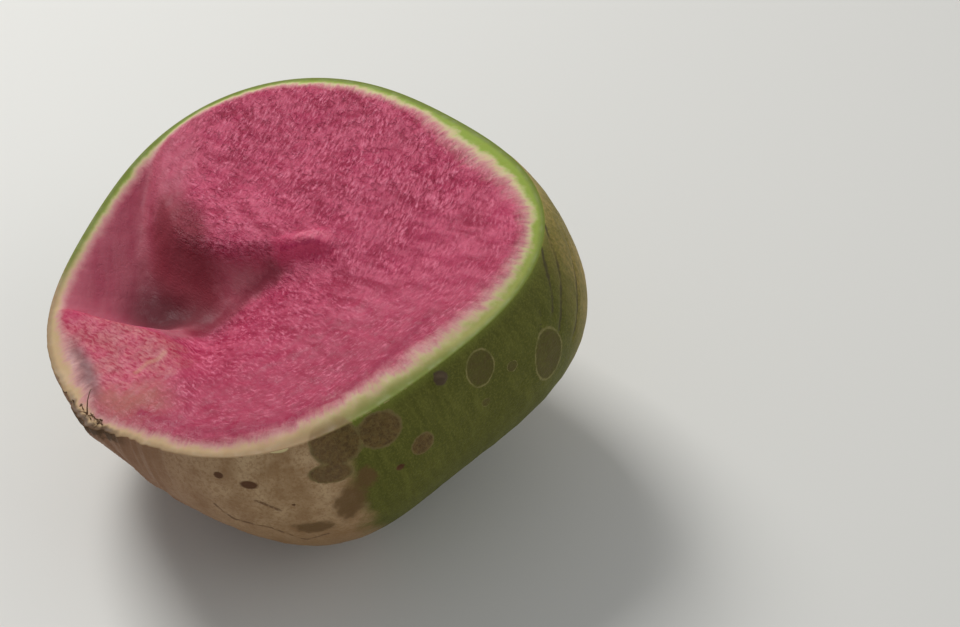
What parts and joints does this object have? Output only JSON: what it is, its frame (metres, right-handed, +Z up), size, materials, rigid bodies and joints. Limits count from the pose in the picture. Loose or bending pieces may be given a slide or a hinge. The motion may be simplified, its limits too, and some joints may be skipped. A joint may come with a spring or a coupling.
{
  "type": "watermelon radish half",
  "caption": "Half of a round watermelon radish, cut lengthwise, lying on its skin with the pink cut face up, dished and torn into a pit at the root side.",
  "frame": {"origin": "on the surface that the half rests on, in the flat spot under its weight", "axes": "+Z up from the resting surface; +X, roughly, from the root end of the cut face towards its raised crown end; +Y across the cut face"},
  "size_m": [0.1078, 0.1072, 0.0625],
  "materials": {
    "radish": "raw root flesh, moist pink to magenta on the cut face, under a thin cream to green skin"
  },
  "bodies": {
    "root": {"radish_half": "radish"}
  },
  "joints": []
}
